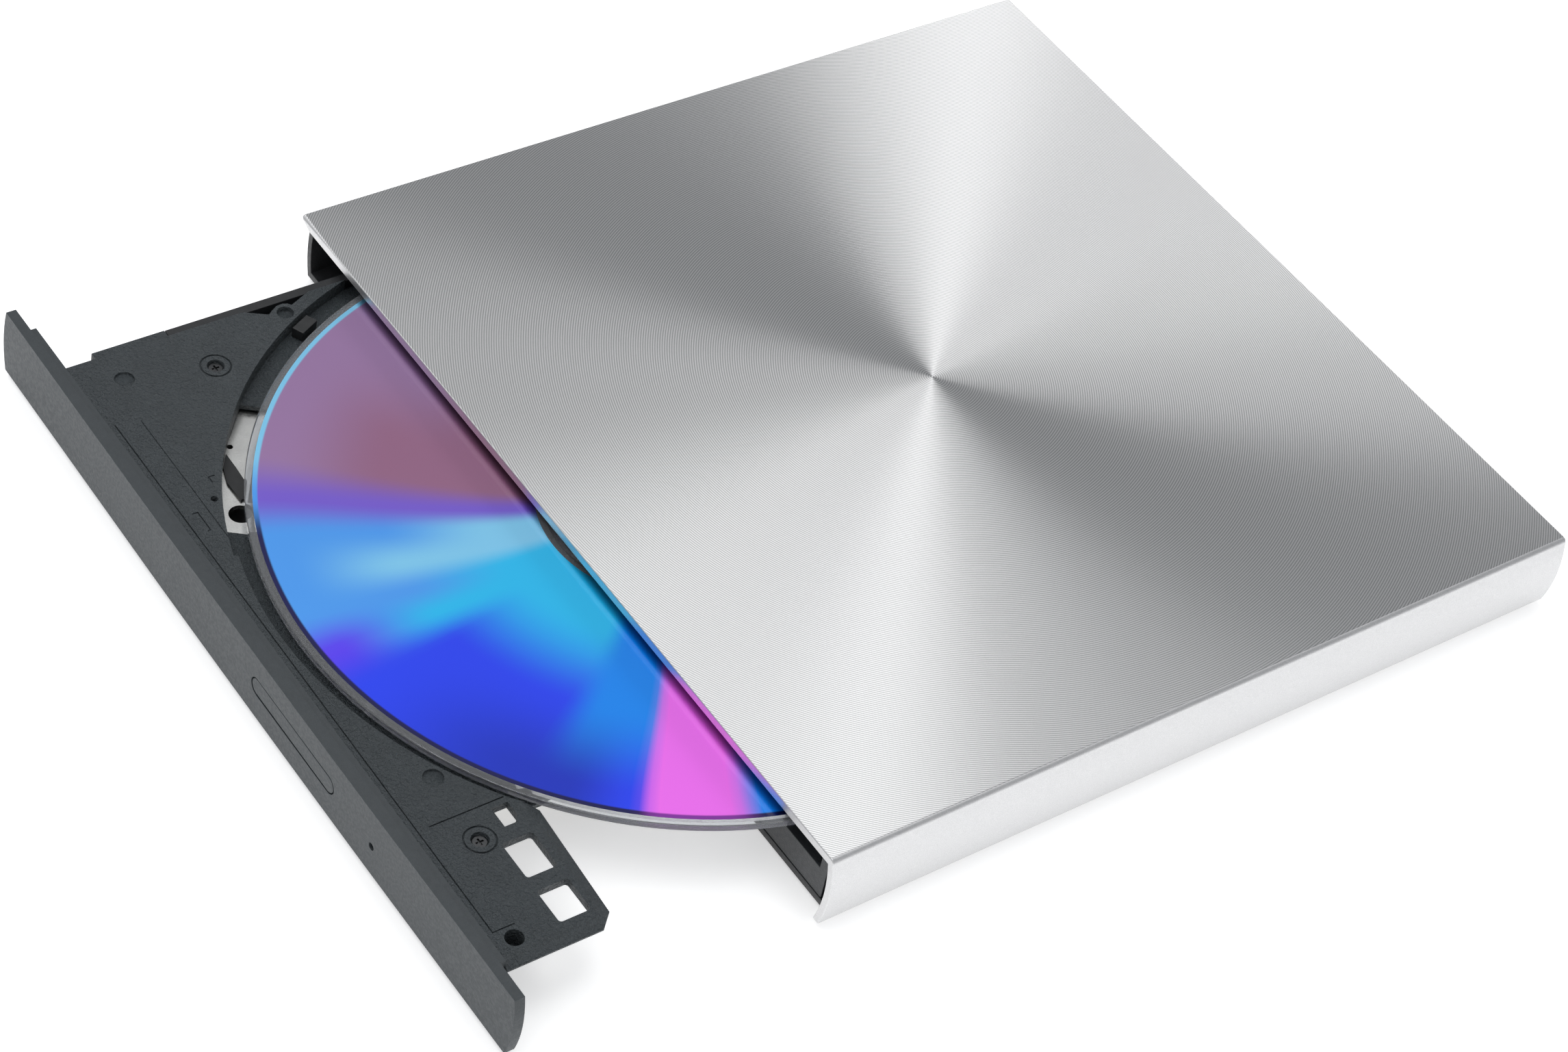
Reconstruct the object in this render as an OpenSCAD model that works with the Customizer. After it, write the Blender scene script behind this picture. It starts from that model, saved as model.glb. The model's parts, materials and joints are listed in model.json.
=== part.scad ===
// Slim external optical drive with its tray part way out.
// +X is right seen from the tray's front, +Y is to the rear, +Z is up, and Z = 0 is the desk.
// The origin is the middle of the footprint, with the tray out by tray_out.

/* [Housing] */
// Width of the flat top plate
case_w = 142.2; // [142:0.1:144]
// Depth of the housing, front edge to rear edge
case_d = 138; // [138:0.5:142]
// Height over the feet
case_h = 14; // [14:0.1:15]
// How far each side wall bulges past the top plate
side_bulge = 0.8; // [0.6:0.1:1]
// Thickness of the turned top plate
plate_t = 1.5; // [1.3:0.1:1.6]
// Thickness of the folded side wall
wall_t = 1.25; // [1.1:0.05:1.3]
// Height of the rubber feet below the shell
foot_h = 0.8; // [0.6:0.1:1]

/* [Tray] */
// How far the tray stands out as modelled
tray_out = 49.5; // [30:0.5:60]
// Height of the tray front
bezel_h = 11.3; // [11:0.1:11.4]
// Thickness of the tray front
bezel_t = 2; // [1.8:0.1:2.1]
// Depth of the tray behind its front
tray_d = 126.5; // [126:0.5:127]
// Radius of the disc pocket
pocket_r = 62.1; // [61.8:0.1:62.3]
// Length of the eject button
button_l = 22; // [18:1:26]

/* [Disc and spindle] */
// Disc diameter
disc_dia = 120; // [120]
// Disc thickness
disc_t = 1.2; // [1.1:0.1:1.3]
// Distance of the spindle behind the tray front
spindle_back = 67.2; // [66.8:0.1:67.4]
// Sideways place of the spindle
disc_x = 3.2; // [2.8:0.1:3.6]

/* [Pickup] */
// Direction in which the pickup travels, from the spindle
sled_angle = 235; // [233:1:237]
// Radius at which the lens stands as modelled
lens_r = 38; // [26:1:56]
// Radius of the guide rods
rod_r = 1; // [0.8:0.1:1]

/* [Hidden] */
$fn = 96;
eps = 0.01;

total_d = case_d + tray_out;
rear_y = total_d / 2;
front_y = rear_y - case_d;
bezel_y = -total_d / 2;

// Heights, from the desk up
shell_t = 1.2;
shell_z = foot_h;
floor_z = shell_z + shell_t;
plate_z = case_h - plate_t;
pan_t = 0.5;
pan_z = floor_z + 0.1;
pan_top = pan_z + pan_t;
lid_t = 0.4;
lid_z = plate_z - 0.05 - lid_t;
disc_z = 10.12;
deck_z = 11;
ear_t = 1.3;
pocket_z = 8.8;
pocket_floor_z = 8;
skirt_z = 3.4;
sheet_t = 0.4;
board_t = 0.8;
board_z = 4;

// The side walls are arcs whose widest point is half way up the wall
plate_half = case_w / 2;
bend_r = 0.9;
arc_z = 7;
arc_chord = case_h - bend_r - arc_z;
arc_r = (arc_chord * arc_chord + side_bulge * side_bulge) / (2 * side_bulge);
arc_x = plate_half + side_bulge - arc_r;
wall_foot = 0.9;

// Shell and drive case
shell_front = front_y + 2.2;
shell_rear = rear_y - 0.4;
rear_wall_t = 1.5;
case_x0 = -61.8;
case_x1 = 66.2;
case_y0 = front_y + 3.5;
case_y1 = front_y + 129.5;

// Tray
deck_x0 = -58.4;
deck_x1 = 41.1;
ledge_d = 1.3;
deck_y0 = bezel_y + bezel_t + ledge_d;
tray_y1 = bezel_y + bezel_t + tray_d;
front_wall_y = deck_y0 + 1.2;
skirt_t = 1.2;
channel_x0 = 31;
disc_y = bezel_y + spindle_back;
disc_r = disc_dia / 2;
bezel_z = 1;
bezel_mid_z = 6.8;
bezel_crown = 0.45;
clip_xs = [-50, -14, 32];
ear_socket = [60.3, -87.3];
button_x = 14.4;
button_h = 2.8;
screw_spots = [[-49.9, -70.4], [44.3, -82.7]];

// Rails
rail_l = 105;
rail_y0 = front_y - 29;
right_y0 = front_y - 19.2;
left_rail_x = -60.2;
right_rail_x = 41.3;
rail_gap = 0.1;

// Traverse, in the pickup's own direction
rod_side = 17;
rod_z = 5.3;
rod_start = 3;
rod_end = 62.5;
screw_side = -21.5;
screw_r = 1.1;
plate_low = 6.9;
plate_high = 7.6;
hole_r = 7.5;
damper_spots = [[-14, -12], [-14, 12], [66, -10]];

// Latch
latch_x = 32.2;
latch_y = -60;
pin_x = 35.6;
pin_y = -74.2 + tray_out;

// USB-C socket
usb_x = -25;
usb_w = 8.94;
usb_h = 3.16;
usb_wall = 0.3;
usb_z = board_z + board_t + usb_h / 2 + 0.1;

foot_spots = [for (x = [-58, 58], y = [front_y + 12, rear_y - 12]) [x, y]];
case_screw_spots = [for (x = [-46, 48], y = [front_y + 10, rear_y - 16]) [x, y]];

// ---- shared shapes ----

module box(x0, x1, y0, y1, z0, z1) {
  translate([x0, y0, z0])
    cube([x1 - x0, y1 - y0, z1 - z0]);
}

// Stands a section drawn in X and Z along the stretch y0 to y1
module along_y(y0, y1) {
  translate([0, y1, 0])
    rotate([90, 0, 0])
      linear_extrude(y1 - y0)
        children();
}

module rect(x0, x1, y0, y1) {
  translate([x0, y0])
    square([x1 - x0, y1 - y0]);
}

module ring(r_in, r_out, z0, z1) {
  translate([0, 0, z0])
    difference() {
      cylinder(r = r_out, h = z1 - z0);
      translate([0, 0, -1])
        cylinder(r = r_in, h = z1 - z0 + 2);
    }
}

module disc_of(r, z0, z1) {
  translate([0, 0, z0])
    cylinder(r = r, h = z1 - z0);
}

// A flat pill, w wide and h high, drawn about its centre
module pill(w, h) {
  square([w - h, h], center = true);
  for (side = [-1, 1])
    translate([side * (w - h) / 2, 0])
      circle(d = h);
}

module at_spindle() {
  translate([disc_x, disc_y, 0])
    children();
}

// Local X runs from the spindle outward along the pickup's travel
module in_traverse() {
  at_spindle()
    rotate([0, 0, sled_angle])
      children();
}

// Section between the two bulging side walls, set in from the outer faces
module body_section(inset_left, inset_right, z0, z1) {
  intersection() {
    union() {
      rect(-arc_x, arc_x, z0, z1);
      translate([-arc_x, arc_z])
        circle(arc_r - inset_left, $fn = 360);
      translate([arc_x, arc_z])
        circle(arc_r - inset_right, $fn = 360);
    }
    rect(-case_w, case_w, z0, z1);
  }
}

module pan_screw(head_r, head_h, shank_r, shank_l) {
  difference() {
    disc_of(head_r, 0, head_h);
    for (turn = [0, 90])
      rotate([0, 0, turn])
        translate([-head_r * 0.6, -0.15, head_h * 0.5])
          cube([head_r * 1.2, 0.3, head_h]);
  }
  disc_of(shank_r, -shank_l, eps);
}

// ---- housing ----

module cover_section() {
  bevel = 2.5;
  polygon([[-plate_half, case_h], [-plate_half, case_h - 0.4], [bevel - plate_half, plate_z],
    [plate_half - bend_r, plate_z], [plate_half - bend_r, case_h]]);
  intersection() {
    translate([plate_half - bend_r, case_h - bend_r])
      circle(bend_r);
    rect(plate_half - bend_r - eps, case_w, plate_z, case_h);
  }
  intersection() {
    difference() {
      translate([arc_x, arc_z])
        circle(arc_r, $fn = 360);
      translate([arc_x, arc_z])
        circle(arc_r - wall_t, $fn = 360);
    }
    rect(plate_half - 3, case_w, wall_foot, case_h - bend_r);
  }
}

module top_cover() {
  color("silver")
    along_y(front_y, rear_y)
      cover_section();
}

module bottom_shell() {
  rib_ys = [for (i = [0:5]) shell_front + 8 + i * 22];
  inner_gap = 0.05;
  side_t = 1.1;
  color("#232526")
    difference() {
      union() {
        difference() {
          along_y(shell_front, shell_rear)
            body_section(0, wall_t + inner_gap, shell_z, plate_z);
          along_y(shell_front - 1, shell_rear - rear_wall_t)
            body_section(side_t, wall_t + inner_gap + side_t, floor_z, case_h);
        }
        for (y = rib_ys)
          box(-plate_half + 0.8, case_x0 - 0.2, y, y + 1.2, floor_z - eps, 11);
      }
      translate([usb_x, rear_y, usb_z])
        rotate([90, 0, 0])
          linear_extrude(6, center = true)
            pill(usb_w + 0.4, usb_h + 0.4);
      for (spot = foot_spots)
        translate(spot)
          disc_of(4.1, shell_z - 1, shell_z + 0.3);
      for (spot = case_screw_spots)
        translate(spot) {
          disc_of(1.1, shell_z - 1, floor_z + 1);
          disc_of(2.1, shell_z - 1, shell_z + 0.6);
        }
    }
}

module front_sill() {
  top = 6.9;
  front = shell_front + 0.1;
  color("#2c2f31") {
    box(45.6, 68.2, front, front + 1.2, floor_z, top);
    box(45.6, 65.6, front + 1.2 - eps, front + 4.6, top - 0.8, top);
    box(66.6, 68.2, front, front + 1.2, top - eps, plate_z);
  }
}

module rubber_feet() {
  color("#1a1a1a")
    for (spot = foot_spots)
      translate(spot)
        disc_of(4, 0, shell_z + 0.3);
}

module case_screws() {
  color("#55585a")
    for (spot = case_screw_spots)
      translate([spot[0], spot[1], shell_z + 0.6])
        rotate([180, 0, 0])
          pan_screw(1.9, 0.5, 0.9, 1.4);
}

module lower_case() {
  plug_x0 = 46;
  plug_x1 = 65;
  color("#8f9496")
    difference() {
      box(case_x0, case_x1, case_y0, case_y1, pan_z, lid_z);
      box(case_x0 + pan_t, case_x1 - pan_t, case_y0 - 1, case_y1 - pan_t, pan_top, lid_z + 1);
      box(plug_x0, plug_x1, case_y1 - 2, case_y1 + 1, board_z - 0.2, 9);
      for (spot = case_screw_spots)
        translate(spot)
          disc_of(0.92, pan_z - 1, pan_top + 1);
    }
}

module upper_case() {
  color("#a4a9ab")
    difference() {
      box(case_x0, case_x1, case_y0, case_y1, lid_z, lid_z + lid_t);
      for (x = [case_x0 + 20, case_x1 - 20], y = [case_y0 + 6, case_y1 - 6])
        translate([x, y])
          disc_of(1.5, lid_z - 1, case_h);
    }
}

// Channel strips in which the rails' outer ribs run
module left_guide() {
  x0 = case_x0 + pan_t;
  color("#3a3d3f")
    difference() {
      box(x0, left_rail_x - rail_gap, case_y0 + 1, case_y0 + 112, 5, 10);
      box(x0 + 0.3, left_rail_x + 1, case_y0, case_y0 + 113, 6.9, 8.5);
    }
}

module right_guide() {
  x0 = right_rail_x + 1.6 + rail_gap;
  color("#3a3d3f")
    difference() {
      box(x0, x0 + 1.3, case_y0 + 1, case_y0 + 112, pan_top, 8.6);
      box(x0 - 1, x0 + 0.8, case_y0, case_y0 + 113, 5.8, 7.4);
    }
}

module main_board() {
  color("#1f5136")
    difference() {
      box(46, 65, case_y0 + 6, case_y1 - 1.5, board_z, board_z + board_t);
      for (y = [case_y0 + 10, case_y0 + 108])
        translate([62, y])
          disc_of(1.2, board_z - 1, board_z + 2);
    }
  color("#1f5136")
    for (y = [case_y0 + 22, case_y0 + 80])
      translate([62, y])
        disc_of(1.2, pan_top, board_z + eps);
}

module main_chips() {
  chip_z = board_z + board_t;
  color("#18191a") {
    box(48.5, 59.5, case_y0 + 30, case_y0 + 41, chip_z, chip_z + 1.1);
    box(50, 56, case_y0 + 50, case_y0 + 60, chip_z, chip_z + 0.9);
    box(49, 58, case_y0 + 68, case_y0 + 74, chip_z, chip_z + 1);
    for (i = [0:6])
      box(61, 63, case_y0 + 30 + i * 5, case_y0 + 31.2 + i * 5, chip_z, chip_z + 0.6);
  }
}

module board_shield() {
  top = 7.2;
  y0 = case_y0 + 4.9;
  color("#9aa0a3")
    difference() {
      box(45.3, 65.5, y0, case_y0 + 100, pan_top, top);
      box(45.7, 65.1, y0 + sheet_t, case_y0 + 101, pan_top - 1, top - sheet_t);
      for (i = [0:3])
        box(50, 60, y0 + 14 + i * 4, y0 + 15.5 + i * 4, top - 1, top + 1);
    }
}

module bridge_board() {
  y0 = case_y1 + 0.5;
  color("#1f5136")
    box(-46, 62, y0, shell_rear - rear_wall_t - 0.2, board_z, board_z + board_t);
  color("#1f5136")
    for (x = [-43, 59])
      translate([x, y0 + 2.6])
        disc_of(1.2, floor_z, board_z + eps);
}

module bridge_chips() {
  y0 = case_y1 + 0.9;
  chip_z = board_z + board_t;
  color("#18191a") {
    box(-8, -3.5, y0, y0 + 4.5, chip_z, chip_z + 0.9);
    box(2, 7, y0 + 0.5, y0 + 3.7, chip_z, chip_z + 1.2);
    for (i = [0:4])
      box(-40 + i * 2.2, -38.8 + i * 2.2, y0 + 1, y0 + 1.8, chip_z, chip_z + 0.5);
  }
}

module drive_plug() {
  color("#e2ddcf")
    box(46.6, 64.4, case_y1 - 6, case_y1 + 3.2, board_z + board_t, 8.4);
}

module usb_shell() {
  color("#b9bcbe")
    translate([usb_x, rear_y - 0.4, usb_z])
      rotate([90, 0, 0])
        linear_extrude(7.3)
          difference() {
            pill(usb_w, usb_h);
            pill(usb_w - 2 * usb_wall, usb_h - 2 * usb_wall);
          }
  color("#b9bcbe")
    box(usb_x - 3, usb_x + 3, rear_y - 7.7, rear_y - 2.4, board_z + board_t, usb_z - usb_h / 2 + 0.05);
}

module usb_tongue() {
  y0 = rear_y - 7.7;
  color("#202224") {
    box(usb_x - 3.35, usb_x + 3.35, y0 + 1, y0 + 5.5, usb_z - 0.35, usb_z + 0.35);
    box(usb_x - 3.2, usb_x + 3.2, y0, y0 + 1 + eps, usb_z - 1.25, usb_z + 1.25);
  }
}

module latch_pin() {
  color("#b9bcbe")
    translate([pin_x, pin_y]) {
      disc_of(0.8, pan_top, 6);
      disc_of(1.6, pan_top, pan_top + 0.3);
    }
}

// ---- telescoping rails ----

module left_rail() {
  x0 = left_rail_x;
  color("#2e3133")
    difference() {
      union() {
        box(x0, x0 + 1.6, rail_y0, rail_y0 + rail_l, 5, 10.4);
        box(x0 - 0.75, x0 + eps, rail_y0 + 1, rail_y0 + rail_l, 7, 8.4);
      }
      box(x0 + 0.6, x0 + 2, rail_y0 - 1, rail_y0 + rail_l + 1, 6.8, 8.8);
    }
}

module right_rail() {
  x0 = right_rail_x;
  color("#2e3133")
    difference() {
      union() {
        box(x0, x0 + 1.6, right_y0, rail_y0 + rail_l, 4.6, 8.6);
        box(x0 + 1.6 - eps, x0 + 2.3, right_y0 + 1, rail_y0 + rail_l, 5.9, 7.3);
      }
      box(x0 - 1, x0 + 1, right_y0 - 1, rail_y0 + rail_l + 1, 5.7, 7.5);
    }
}

// ---- tray ----

// Right ear of the tray, with its sloped corners
module ear_outline() {
  polygon([[deck_x1 - 1, deck_y0], [63.9, deck_y0], [63.9, -75.6], [61.8, -73.4],
    [43, -72.4], [40.1, -75.2]]);
}

// Slopes along the ear's rear edge and its right end
module ear_slopes() {
  over = deck_z + eps;
  low = deck_z - 1;
  translate([41.5, -72.3, 0])
    rotate([0, 0, -3.3])
      rotate([90, 0, 90])
        linear_extrude(30)
          polygon([[-2, over], [0, low], [2, low], [2, over]]);
  along_y(deck_y0, -70)
    polygon([[62.1, over], [63.8, low], [65, low], [65, over]]);
}

// A rectangle whose corners are rounded by r
module soft_rect(x0, x1, y0, y1, r) {
  rect(x0 + r, x1 - r, y0, y1);
  rect(x0, x1, y0 + r, y1 - r);
  for (x = [x0 + r, x1 - r], y = [y0 + r, y1 - r])
    translate([x, y])
      circle(r, $fn = 24);
}

module house_hole() {
  polygon([[40.4, -78.6], [43.9, -78.6], [43.9, -76.9], [42.9, -76], [40.4, -76]]);
}

module deck_plan() {
  difference() {
    rect(deck_x0, deck_x1, deck_y0, tray_y1);
    translate([disc_x - 1.3, disc_y + 0.3])
      circle(pocket_r, $fn = 240);
    polygon([[deck_x0 - 1, -61.6], [-58.4, -61.3], [-56.3, -57.9], [-56.9, -57.1], [-57.5, -56],
      [-57.6, -55], [-57.3, -54.2], [-56.8, -53.8], [-58.4, -50], [deck_x0 - 1, -49.8]]);
    intersection() {
      translate([disc_x - 1.3, disc_y + 0.3])
        circle(pocket_r + 0.65, $fn = 240);
      in_traverse_plane()
        rect(20, 64, -44, 19.5);
    }
  }
}

// Parts of the tray that stay clear for the pickup, the rotor and the view of the traverse
module floor_window() {
  at_spindle()
    circle(15.2);
  in_traverse_plane()
    rect(0, 63.8, -13, 13);
}

module in_traverse_plane() {
  translate([disc_x, disc_y])
    rotate(sled_angle)
      children();
}

module tray_frame() {
  color("#3c4043")
    difference() {
      union() {
        translate([0, 0, pocket_floor_z])
          linear_extrude(deck_z - pocket_floor_z)
            deck_plan();
        translate([0, 0, pocket_floor_z])
          linear_extrude(pocket_z - pocket_floor_z)
            difference() {
              rect(deck_x0, deck_x1, deck_y0, tray_y1);
              floor_window();
            }
        translate([0, 0, deck_z - ear_t])
          linear_extrude(ear_t)
            ear_outline();
        box(deck_x0, deck_x0 + skirt_t, deck_y0, tray_y1, skirt_z, pocket_floor_z + eps);
        box(deck_x1 - skirt_t, deck_x1, right_y0 + 0.5, tray_y1, skirt_z, pocket_floor_z + eps);
        box(deck_x0, deck_x1, deck_y0, front_wall_y, skirt_z, pocket_floor_z + eps);
        box(deck_x0, channel_x0, tray_y1 - skirt_t, tray_y1, skirt_z, pocket_floor_z + eps);
        // outer runners, and the stop block at the front of the left one
        box(deck_x0 - 0.9, deck_x0 + eps, rail_y0 - 1, tray_y1, 6.95, 8.65);
        box(deck_x1 - eps, deck_x1 + 0.9, right_y0 + 0.5, tray_y1, 5.85, 7.35);
        box(left_rail_x + 0.1, deck_x0 + eps, rail_y0 - 12, rail_y0 - 0.15, 5.2, 10.5);
        translate(ear_socket)
          disc_of(2.2, 7.5, deck_z - ear_t + eps);
        translate([latch_x, latch_y])
          disc_of(0.9, skirt_z + 0.2, pocket_floor_z + eps);
        for (spot = damper_spots)
          in_traverse()
            translate(spot)
              disc_of(1.2, 6.45, pocket_floor_z + eps);
      }
      // through holes and recesses in the ear and the deck
      ear_slopes();
      for (cut = [[46.2, 52.7, -80.6, -75.8], [55.1, 60.9, -80.7, -75.8]])
        translate([0, 0, 7])
          linear_extrude(5)
            soft_rect(cut[0], cut[1], cut[2], cut[3], 0.5);
      box(39.2, deck_x1 + 1, -80, -74.4, 5, deck_z - ear_t);
      translate([0, 0, 7])
        linear_extrude(5)
          house_hole();
      translate(ear_socket)
        disc_of(1.35, 8, deck_z + 1);
      for (spot = [[-52.9, -83.7], [32.3, -82.7]])
        translate(spot)
          disc_of(1.5, deck_z - 0.4, deck_z + 1);
      for (spot = screw_spots)
        translate(spot) {
          ring(2.1, 2.4, deck_z - 0.3, deck_z + 1);
          disc_of(1.3, deck_z - 1.1, deck_z + 1);
          disc_of(0.75, pocket_floor_z - 1, deck_z + 1);
        }
      translate([-55.7, -55.5])
        disc_of(1.3, deck_z - 0.8, deck_z + 1);
      // seams moulded into the deck
      box(-45, 58.4, -89.5, -89.3, deck_z - 0.25, deck_z + 1);
      box(58.2, 58.4, -89.5, -86, deck_z - 0.25, deck_z + 1);
      box(39.3, 39.5, -87.6, -76, deck_z - 0.25, deck_z + 1);
      box(-44.3, -18, -85.68, -85.54, deck_z - 0.15, deck_z + 1);
      box(-24.7, -24.5, -88, -87.1, deck_z - 0.25, deck_z + 1);
      box(-24.7, -20.7, -87.25, -87.05, deck_z - 0.25, deck_z + 1);
      box(-20.9, -20.7, -87.6, -87.05, deck_z - 0.25, deck_z + 1);
      box(-30.2, -30, -82.5, -81.4, deck_z - 0.2, deck_z + 1);
      box(-30.2, -28.9, -82.5, -82.3, deck_z - 0.2, deck_z + 1);
      translate([-25.96, -83.74])
        disc_of(0.55, deck_z - 1.5, deck_z + 1);
      // clip holes, switch window and cable slot in the walls below the deck
      for (x = clip_xs)
        box(x - 2.1, x + 2.1, deck_y0 - 1, front_wall_y + 1, 5.4, 6.8);
      box(7, 22, deck_y0 - 1, front_wall_y + 1, 4.6, pocket_floor_z + eps);
      for (spot = damper_spots)
        in_traverse()
          translate(spot)
            disc_of(0.6, 6, pocket_floor_z + 2);
    }
}

// Plan of the tray front, whose face is crowned by bezel_crown at its middle
module crowned_plan() {
  steps = 24;
  half = plate_half + side_bulge;
  front = [for (i = [0:steps])
    let (x = half * (2 * i / steps - 1))
      [x, bezel_y + bezel_crown * pow(x / half, 2)]];
  back = bezel_y + bezel_t;
  polygon(concat(front, [[half, back], [-half, back]]));
}

module bezel() {
  top = bezel_z + bezel_h;
  color("#484d52")
    difference() {
      union() {
        intersection() {
          along_y(bezel_y, bezel_y + bezel_t)
            body_section(0, wall_t + 0.25, bezel_z, top);
          linear_extrude(case_h)
            crowned_plan();
        }
        box(-67.4, 63.2, bezel_y + bezel_t - eps, deck_y0, 9.1, deck_z + 0.4);
        for (x = clip_xs) {
          box(x - 1.9, x + 1.9, bezel_y + bezel_t - eps, front_wall_y + 0.8, 5.55, 6.65);
          box(x - 1.9, x + 1.9, front_wall_y + 0.05, front_wall_y + 0.8, 5.55, 7.2);
        }
      }
      translate([button_x, bezel_y, bezel_mid_z])
        rotate([90, 0, 0])
          linear_extrude(3 * bezel_t, center = true)
            pill(button_l + 0.4, button_h + 0.4);
      translate([35.5, bezel_y + bezel_t + 1, bezel_mid_z - 0.8])
        rotate([90, 0, 0])
          cylinder(r = 0.6, h = bezel_t + 3);
    }
}

module eject_button() {
  face_y = bezel_y + 0.05;
  back_y = bezel_y + bezel_t + 0.1;
  color("#484d52") {
    translate([button_x, back_y, bezel_mid_z])
      rotate([90, 0, 0])
        linear_extrude(back_y - face_y)
          pill(button_l, button_h);
    translate([button_x, back_y + 0.4, bezel_mid_z])
      rotate([90, 0, 0])
        linear_extrude(0.4 + eps)
          pill(button_l + 2, 4);
  }
}

module tray_screws() {
  color("#4c5052")
    for (spot = screw_spots)
      translate([spot[0], spot[1], deck_z - 1.1])
        pan_screw(1, 0.6, 0.74, 0.9);
}

module disc_stop() {
  color("#1c1e1f")
    in_traverse()
      translate([0, 0, pocket_z])
        linear_extrude(1.8)
          rotate(-29.1)
            rect(61.2, 63.2, -1.7, 2);
}

module bottom_plate() {
  color("#8f9496")
    difference() {
      box(deck_x0 + 0.3, channel_x0 - 1, deck_y0 + 0.2, tray_y1 - 0.2, skirt_z - sheet_t, skirt_z);
      at_spindle()
        disc_of(4, 0, 6);
      for (i = [0:2])
        box(-40, -20, 2 + i * 6, 4 + i * 6, 0, 6);
    }
}

module traverse_plan() {
  difference() {
    intersection() {
      in_traverse_plane()
        union() {
          rect(-19, 71, -19.4, 19.6);
          rect(20, 20.8, -24, -19);
          rect(61.2, 62, -24, -19);
        }
      rect(deck_x0 + skirt_t + 0.3, deck_x1, front_wall_y + 0.3, tray_y1);
    }
    at_spindle()
      circle(13);
    in_traverse_plane()
      rect(0, 59, -6.1, 6.1);
    in_traverse_plane()
      for (spot = damper_spots)
        translate(spot)
          circle(2);
    in_traverse_plane()
      translate([62.7, -5.3])
        circle(0.45);
    in_traverse_plane()
      translate([59.75, 8])
        circle(1.75);
  }
}

module traverse_plate() {
  color("#c6c8c6") {
    translate([0, 0, plate_low])
      linear_extrude(plate_high - plate_low)
        traverse_plan();
    in_traverse()
      difference() {
        union() {
          for (side = [-1, 1], at = [rod_start, rod_end - 2])
            box(at, at + 2, side * rod_side - 1.8, side * rod_side + 1.8, 4.1, plate_low + eps);
          for (at = [20, 61.2])
            box(at, at + 0.8, -24, -19, 3.8, plate_low + eps);
        }
        for (side = [-1, 1])
          translate([0, side * rod_side, rod_z])
            rotate([0, 90, 0])
              cylinder(r = rod_r, h = 80);
        translate([0, screw_side, rod_z])
          rotate([0, 90, 0])
            cylinder(r = screw_r + 0.06, h = 80);
      }
  }
}

// Stretch of the pickup's flex that is stuck to the plate past the end of its slot
module pickup_flex() {
  color("#161718")
    in_traverse()
      translate([0, 0, plate_high + 0.01])
        linear_extrude(0.4)
          polygon([[63.1, -3.4], [61.4, -0.9], [59.5, 2.2], [59.4, 5], [60, 5.6], [62.3, 2.4], [63.2, -0.6]]);
}

module dampers() {
  color("#262626")
    for (spot = damper_spots)
      in_traverse()
        translate(spot) {
          ring(1.22, 1.95, plate_low - 0.2, plate_high + 0.2);
          ring(1.22, 3, plate_high + 0.01, plate_high + 0.38);
          ring(1.22, 3, plate_low - 0.4, plate_low - 0.01);
        }
}

module traverse_screws() {
  color("#4c5052")
    for (spot = damper_spots)
      in_traverse()
        translate([spot[0], spot[1], 6.44])
          rotate([180, 0, 0])
            pan_screw(1.9, 0.5, 0.55, 1.6);
}

module guide_rods() {
  color("#d5d8da")
    in_traverse()
      for (side = [-1, 1])
        translate([rod_start, side * rod_side, rod_z])
          rotate([0, 90, 0])
            cylinder(r = rod_r, h = rod_end - rod_start);
}

module sled_motor() {
  color("#a9acae")
    in_traverse()
      translate([8, screw_side, rod_z])
        rotate([0, 90, 0])
          difference() {
            cylinder(r = 1.75, h = 12);
            translate([0, 0, 9])
              cylinder(r = screw_r + 0.06, h = 4);
          }
}

module switch_board() {
  color("#1f5136")
    box(4, 27, front_wall_y + 0.1, -80.5, 3.7, 4.5);
}

module eject_switch() {
  color("#d8d5ca")
    box(11.4, 17.4, front_wall_y + 0.2, -85.6, 4.5, 7.7);
  color("#303234")
    box(13, 15.8, deck_y0 + 0.3, front_wall_y + 0.21, 5.4, 7);
}

module latch_solenoid() {
  color("#b4743c") {
    box(12, 25, -74, -68, 3.6, 7.8);
  }
  color("#b9bcbe") {
    box(25, 27.4, -72, -70, 5, 6.4);
  }
}

module flex_cable() {
  color("#c98a2b") {
    box(16, 30, -62, tray_y1 - 4, 2.78, 2.98);
  }
}

module motor_base() {
  color("#b4b8ba")
    at_spindle()
      difference() {
        disc_of(13.8, 3.5, plate_low);
        disc_of(13, 4.1, plate_low + 1);
        disc_of(2.9, 3, 6);
      }
}

module stator() {
  teeth = 9;
  color("#b4743c")
    at_spindle() {
      ring(2.9, 4.6, 4.15, 7.3);
      for (i = [0:teeth - 1])
        rotate([0, 0, i * 360 / teeth]) {
          box(4.5, 9.2, -0.5, 0.5, 5.2, 6.2);
          box(5.2, 8.4, -1.1, 1.1, 4.7, 6.7);
          box(9.1, 9.8, -2.4, 2.4, 5, 6.4);
        }
    }
}

module bearing_sleeve() {
  color("#a98f4e")
    at_spindle()
      difference() {
        disc_of(2.88, 3.5, 7.7);
        disc_of(1.55, 3.9, 9);
      }
}

// ---- spindle, turning with the disc ----

module rotor_can() {
  color("#c2c5c6")
    at_spindle()
      difference() {
        disc_of(12, 4.9, 8.6);
        disc_of(11.5, 4, 8.1);
        disc_of(1.5, 7, 9);
      }
}

module magnet_ring() {
  color("#3a3a3a")
    at_spindle()
      ring(10.2, 11.48, 4.95, 7.6);
}

module spindle_shaft() {
  color("#d5d8da")
    at_spindle()
      disc_of(1.5, 4, 9.6);
}

module turntable() {
  color("#1e2022")
    at_spindle()
      difference() {
        union() {
          disc_of(8, 8.6, 9.4);
          disc_of(14.2, 9.2, 10);
        }
        disc_of(1.5, 8, 9.6);
      }
}

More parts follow.
